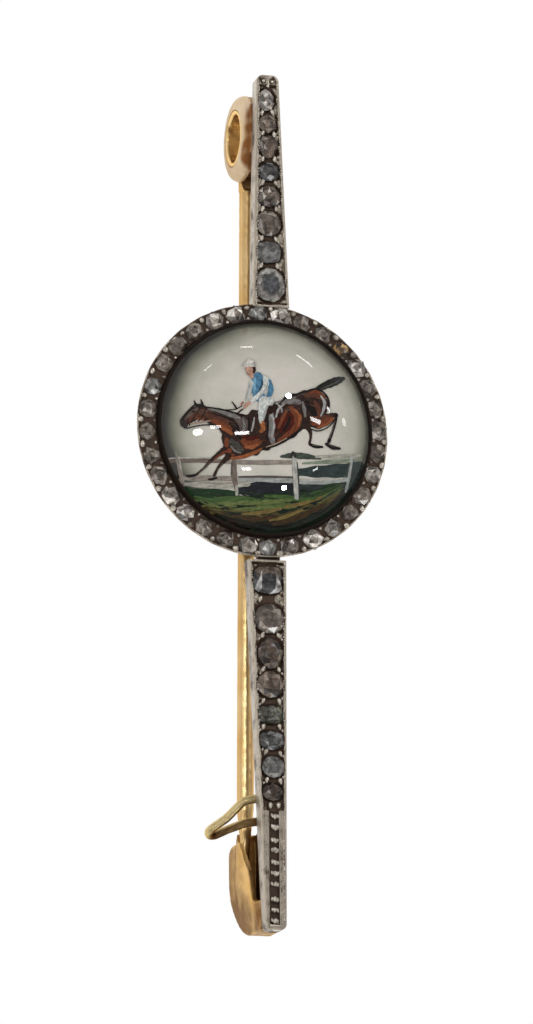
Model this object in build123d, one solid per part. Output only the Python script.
from build123d import *
from math import hypot, sqrt
import os

# Bar brooch with a round domed-crystal centre. It lies on its back, +Z up:
# +Y runs along the bar from the catch to the hinge, +X to the right seen from
# the front. All sizes in millimetres.

# ---- overall -------------------------------------------------------------
LENGTH = 56.04          # tip to tip of the two arms
FACE_Z = 6.75           # front face of the arms
ARM_T = 1.10            # thickness of an arm
BACK_Z = FACE_Z - ARM_T
AXIS_X = 0.33           # the bar's centre line, right of the roundel's centre
RING_Y = 4.43           # the roundel's centre, from mid length

# ---- arms: y of both ends, then x of the left and right edge at each -------
#        name     y_tip          y_inner  tip_l  tip_r  in_l   in_r
ARMS = [
    ("upper", LENGTH / 2, 12.50, -0.66, 0.79, -1.03, 1.37),
    ("lower", -LENGTH / 2, -4.18, -0.56, 0.79, -1.50, 1.00),
]
TIP_R = 0.42            # rounded corners of the tips
RIM_W = 0.20            # raised side rims
TROUGH = 0.28           # depth of the stone channel
TIP_RIM = 0.24
GRAIN_Y = -20.45        # past here the lower arm has a row of grains, no stones
GRAIN_X, GRAIN_HALF = 0.02, 0.31
LIP_W = 0.16            # cross lip at an arm's inner end
NECK_W, NECK_TOP = 1.5, 6.25

# ---- roundel ---------------------------------------------------------------
RING_R = 8.18
RING_TOP = 6.62         # outer edge
CHANNEL_OUT, CHANNEL_IN = 8.06, 7.10
BEZEL_TOP = 7.02
SEAT_R = 6.94
RING_BACK = 4.95
FLOOR_Z = 5.50

CRYSTAL_R = 6.90
CRYSTAL_Z0 = 5.95
GIRDLE_Z = 6.80
DOME_R, DOME_Z = 6.77, 6.95
DOME_H = 3.25
BACKING_R, BACKING_T = 6.86, 0.38

# ---- hinge ----------------------------------------------------------------
HINGE_Y = 24.75
EAR_R = 2.82            # also the height of the hinge axis: the ears are feet
HINGE_Z = EAR_R
DRUM_W = 2.40
SLOT_W = 0.90
EAR_ROUND = 0.62
RIVET_R, RIVET_BORE = 1.84, 1.58
EAR_BORE = RIVET_R + 0.01
DISC_R, DISC_W = 2.30, 0.84
DISC_BORE = RIVET_R + 0.04
SLOT_R = DISC_R + 0.10
PAD_Y, PAD_X = 3.2, 1.56

# ---- pin: the stem leaves the disc below its centre -----------------------
STEM_R = 0.55
STEM_A = (0.12, HINGE_Y - 1.85, 1.60)     # x is from the bar's centre line
STEM_B = (-0.245, -23.3, 0.80)
NECK_T = 0.80           # flat neck between the ears
ROUND_FROM = 3.15       # outside the ears' rim the stem has its full width
#        y       radius
TAPER = [
    (-19.3, 0.55),
    (-20.3, 0.45),
    (-21.3, 0.34),
    (-22.8, 0.26),
    (-25.1, 0.06),
]

# ---- catch: a bent-up sheet, its left wall open towards the bar ------------
PLATE_Y, CATCH_Y0, CATCH_Y1 = -20.45, -21.78, -27.85   # plate, leaf, outer end
PLATE_L = -0.62         # the leaf stands left of this, the plate lies right
CATCH_T = 0.36
CATCH_L, CATCH_R = -1.19, 1.02            # outer faces, from the centre line
TOP_L, TOP_R = -0.62, 0.72                # where it meets the arm's back
SHOULDER_Z = 1.3
BULGE = (-1.11, 3.4)    # the left wall is bowed outwards through this x, z
LIP = ((CATCH_Y0, 2.66), (-23.9, 4.15), (-25.95, 4.65))   # free edge, y and z
TONGUE_R = 3.476        # rounded outer end, seen from the side
HEEL_R = 1.2            # rounded inner end, seen from the side
CORNER_R = 0.42
NARROW_Y, END_L, END_R = -24.2, -0.64, 0.76   # it narrows past here, to these

# ---- loop for a safety chain ----------------------------------------------
LOOP_WIRE_R = 0.28
#    x from the centre line, y, z, corner radius
LOOP = [
    (-0.20, -19.30, 5.32, None),
    (-1.50, -19.55, 5.12, 0.8),
    (-2.50, -20.62, 4.50, 1.5),
    (-3.58, -21.40, 4.02, 0.42),
    (-3.16, -21.60, 3.14, 0.42),
    (-2.15, -21.14, 3.56, 1.5),
    (-1.25, -20.86, 4.62, 0.8),
    (-0.20, -20.80, 5.10, None),
]
LOOP_PAD = (-0.50, 0.24, -21.20, -18.95, 5.20)   # x0, x1, y0, y1, underside


def outline(points, corners=()):
    """A face in the XY plane, with the numbered corners rounded."""
    face = make_face(Polyline(*points, close=True))
    for index, radius in corners:
        x, y = points[index]
        near = min(face.vertices(), key=lambda v: hypot(v.X - x, v.Y - y))
        face = fillet(near, radius)
    return face


def block(x0, x1, y0, y1, z0, z1):
    return Pos((x0 + x1) / 2, (y0 + y1) / 2, (z0 + z1) / 2) * Box(
        abs(x1 - x0), abs(y1 - y0), abs(z1 - z0)
    )


def prism_y(points, y_hi, y_lo, corners=()):
    """A section drawn as x, z and run from y_hi down to y_lo."""
    face = outline(points, corners)
    return extrude(Plane.XZ.offset(-y_hi) * face, amount=y_hi - y_lo)


def prism_x(points, half, corners=()):
    """A side view drawn as y, z and run across the bar."""
    face = outline(points, corners)
    return extrude(Plane.YZ.offset(-half) * face, amount=2 * half)


def turned(points):
    """A solid of revolution about the roundel's centre, from r, z points."""
    face = Plane.XZ * make_face(Polyline(*points, close=True))
    return Pos(0, RING_Y, 0) * revolve(face, Axis.Z)


def disc_x(radius, x0, x1):
    """A cylinder along the hinge axis."""
    return Pos((x0 + x1) / 2, HINGE_Y, HINGE_Z) * (
        Rot(0, 90, 0) * Cylinder(radius, abs(x1 - x0))
    )


def arm_solid(y_tip, y_in, tip_l, tip_r, in_l, in_r):
    out = 1 if y_tip > y_in else -1

    def edges(y, inset):
        t = (y - y_tip) / (y_in - y_tip)
        left = tip_l + (in_l - tip_l) * t + inset
        right = tip_r + (in_r - tip_r) * t - inset
        return AXIS_X + left, AXIS_X + right

    def plan(y0, y1, inset, r0, r1):
        (l0, r0x), (l1, r1x) = edges(y0, inset), edges(y1, inset)
        pts = [(l0, y0), (r0x, y0), (r1x, y1), (l1, y1)]
        return outline(pts, [(0, r0), (1, r0), (2, r1), (3, r1)])

    body = extrude(
        Plane.XY.offset(BACK_Z) * plan(y_tip, y_in, 0.0, TIP_R, 0.12), amount=ARM_T
    )
    y_end = y_tip - out * TIP_RIM
    y_stones = y_end if out > 0 else GRAIN_Y
    channel = plan(y_stones, y_in + out * LIP_W, RIM_W, TIP_R - RIM_W, 0.1)
    body -= extrude(Plane.XY.offset(FACE_Z - TROUGH) * channel, amount=TROUGH + 1)
    if y_stones != y_end:
        mid = AXIS_X + GRAIN_X
        x0, x1 = mid - GRAIN_HALF, mid + GRAIN_HALF
        body -= block(x0, x1, y_end, y_stones + 0.2, FACE_Z - TROUGH, FACE_Z + 1)
    return body


def silver_frame():
    collet = turned(
        [
            (0, RING_BACK),
            (7.15, RING_BACK),
            (7.80, 5.25),
            (RING_R, 5.65),
            (RING_R, RING_TOP),
            (CHANNEL_OUT, RING_TOP),
            (CHANNEL_OUT, RING_TOP - 0.20),
            (CHANNEL_IN, RING_TOP),
            (CHANNEL_IN - 0.02, BEZEL_TOP),
            (DOME_R + 0.10, BEZEL_TOP + 0.03),
            (SEAT_R, GIRDLE_Z + 0.04),
            (SEAT_R, FLOOR_Z),
            (0, FLOOR_Z),
        ]
    )
    frame = collet
    for _, y_tip, y_in, *edges in ARMS:
        frame += arm_solid(y_tip, y_in, *edges)
        toward = RING_Y + (RING_R - 0.15) * (1 if y_tip > 0 else -1)
        frame += block(
            AXIS_X - NECK_W / 2, AXIS_X + NECK_W / 2, toward, y_in, BACK_Z, NECK_TOP
        )
    return frame


def crystal():
    rise = (DOME_R**2 + DOME_H**2) / (2 * DOME_H)       # radius of the dome
    half = sqrt((rise**2 - (rise - DOME_H / 3) ** 2))
    profile = Polyline(
        (0, DOME_Z + DOME_H),
        (0, CRYSTAL_Z0),
        (CRYSTAL_R, CRYSTAL_Z0),
        (CRYSTAL_R, GIRDLE_Z),
        (DOME_R, DOME_Z),
    ) + ThreePointArc(
        (DOME_R, DOME_Z), (half, DOME_Z + DOME_H * 2 / 3), (0, DOME_Z + DOME_H)
    )
    return Pos(0, RING_Y, 0) * revolve(Plane.XZ * make_face(profile), Axis.Z)


def painted_backing():
    z = CRYSTAL_Z0 - 0.03 - BACKING_T / 2
    return Pos(0, RING_Y, z) * Cylinder(BACKING_R, BACKING_T)


def hinge_ears():
    half, slot = DRUM_W / 2, SLOT_W / 2
    drum = disc_x(EAR_R, -half, half)
    rims = [e for e in drum.edges().filter_by(GeomType.CIRCLE)]
    drum = fillet(rims, EAR_ROUND)
    drum += block(
        -PAD_X / 2, PAD_X / 2, HINGE_Y - PAD_Y / 2, HINGE_Y + PAD_Y / 2, 4.6, BACK_Z
    )
    drum -= disc_x(SLOT_R, -slot, slot)
    drum -= block(-slot, slot, HINGE_Y - 4, HINGE_Y + 4, -1, HINGE_Z + 1.2)
    drum -= disc_x(EAR_BORE, -half - 1, half + 1)
    drum -= block(-3, 3, HINGE_Y - 4, HINGE_Y + 4, BACK_Z, BACK_Z + 2)
    return Pos(AXIS_X, 0, 0) * drum


def hinge_rivet():
    half = DRUM_W / 2
    tube = disc_x(RIVET_R, -half, half)
    tube -= disc_x(RIVET_BORE, -half - 1, half + 1)
    mouths = [
        e
        for e in tube.edges().filter_by(GeomType.CIRCLE)
        if abs(e.radius - RIVET_BORE) < 0.01
    ]
    return Pos(AXIS_X, 0, 0) * fillet(mouths, 0.14)


def stem_at(y):
    """Centre of the stem at a given y, from the bar's centre line."""
    t = (y - STEM_A[1]) / (STEM_B[1] - STEM_A[1])
    return tuple(a + (b - a) * t for a, b in zip(STEM_A, STEM_B))


def pin():
    start, along = Vector(*STEM_A), Vector(*STEM_B) - Vector(*STEM_A)
    along = along.normalized()
    plane = Plane(origin=start, x_dir=(1, 0, 0), z_dir=along)

    def run(y):
        return (Vector(*stem_at(y)) - start).length

    first = run(HINGE_Y - ROUND_FROM)
    neck = plane * Pos(0, 0, first / 2 + 0.02) * Box(2, NECK_T, first + 0.04)
    neck &= block(-DISC_W / 2, DISC_W / 2, 0, HINGE_Y, 0, 6)
    profile = [(0, first), (STEM_R, first)]
    profile += [(r, run(y)) for y, r in TAPER] + [(0, run(TAPER[-1][0]) + 0.05)]
    stem = revolve(
        plane * (Plane.XZ * make_face(Polyline(*profile, close=True))),
        Axis(start, along),
    )
    disc = disc_x(DISC_R, -DISC_W / 2, DISC_W / 2)
    disc = fillet(disc.edges().filter_by(GeomType.CIRCLE), 0.12)
    whole = disc + neck + stem
    whole -= disc_x(DISC_BORE, -2, 2)
    return Pos(AXIS_X, 0, 0) * whole


def tongue(inner, inset):
    """Side view of the catch: rounded inner heel, round outer end."""
    outer = CATCH_Y1 + inset
    pts = [(inner, 8), (inner, inset), (outer, inset), (outer, 8)]
    rounds = [(2, TONGUE_R - inset)] + ([] if inset else [(1, HEEL_R)])
    return prism_x(pts, 4, rounds)


def narrowing(inset):
    """Plan of the catch: straight, then narrower towards its outer end."""
    left, right = CATCH_L + inset, CATCH_R - inset
    pts = [
        (left, PLATE_Y + 2),
        (right, PLATE_Y + 2),
        (right, NARROW_Y),
        (END_R - inset, CATCH_Y1 - 0.1),
        (END_L + inset, CATCH_Y1 - 0.1),
        (left, NARROW_Y),
    ]
    return extrude(Plane.XY * outline(pts, [(2, 1.5), (5, 1.5)]), amount=8)


def catch_section(inset):
    """The catch across the bar, as x and z, drawn in by a wall's thickness."""
    top = BACK_Z - inset
    left, right = CATCH_L + inset, CATCH_R - inset
    top_l, top_r = TOP_L + inset, TOP_R - inset
    walls = (
        ThreePointArc((top_l, top), (BULGE[0] + inset, BULGE[1]), (left, SHOULDER_Z))
        + Polyline(
            (left, SHOULDER_Z),
            (left, inset),
            (right, inset),
            (right, SHOULDER_Z),
            (top_r, top),
            (top_l, top),
        )
    )
    face = make_face(walls)
    for x in (left, right):
        near = min(face.vertices(), key=lambda v: hypot(v.X - x, v.Y - inset))
        face = fillet(near, CORNER_R - inset)
    return face


def along_bar(face, y_hi, y_lo):
    return extrude(Plane.XZ.offset(-y_hi) * face, amount=y_hi - y_lo)


def catch():
    t = CATCH_T
    plate = tongue(PLATE_Y, 0) & block(PLATE_L, 4, CATCH_Y1 - 1, PLATE_Y + 1, -1, 8)
    outer = along_bar(catch_section(0), PLATE_Y, CATCH_Y1 - 1)
    outer &= tongue(CATCH_Y0, 0) + plate
    outer &= narrowing(0)
    hollow = along_bar(catch_section(t), PLATE_Y + 1, CATCH_Y1)
    hollow &= tongue(PLATE_Y + 1, t + 0.04)
    hollow &= narrowing(t)
    (y0, z0), (y1, z1), (y2, z2) = LIP
    mouth = prism_x(
        [(y0 + 3, t), (y0, t), (y0, z0), (y1, z1), (y2, z2), (y2, 6), (y0 + 3, 6)],
        4,
        [(3, 2.0), (4, 0.5)],
    )
    wall = prism_y(
        [
            (CATCH_R - t, -1),
            (CATCH_R - t, SHOULDER_Z),
            (TOP_R - t, BACK_Z),
            (TOP_R - t, 7),
            (4, 7),
            (4, -1),
        ],
        PLATE_Y + 2,
        CATCH_Y1 - 1,
    )
    hook = outer - hollow - (mouth - wall)
    return Pos(AXIS_X, 0, 0) * hook


def safety_loop():
    pts = [(x, y, z) for x, y, z, _ in LOOP]
    radii = [r for *_, r in LOOP if r is not None]
    path = FilletPolyline(*pts, radius=radii)
    wire = sweep(
        Plane(origin=pts[0], z_dir=(path % 0)) * Circle(LOOP_WIRE_R), path=path
    )
    x0, x1, y0, y1, z0 = LOOP_PAD
    loop = wire + block(x0, x1, y0, y1, z0, BACK_Z)
    loop -= block(-3, 3, -30, -10, BACK_Z, BACK_Z + 2)
    return Pos(AXIS_X, 0, 0) * loop


PIECES = {
    "silver_frame": silver_frame,
    "crystal_cabochon": crystal,
    "painted_backing": painted_backing,
    "hinge_ears": hinge_ears,
    "hinge_rivet": hinge_rivet,
    "pin": pin,
    "catch": catch,
    "safety_loop": safety_loop,
}

os.makedirs("parts", exist_ok=True)
for name, make in PIECES.items():
    made = make()
    solids = made.solids()
    print(name, len(solids), "solid", round(sum(s.volume for s in solids), 3), "mm3")
    export_step(solids[0] if len(solids) == 1 else made, f"parts/{name}.step")
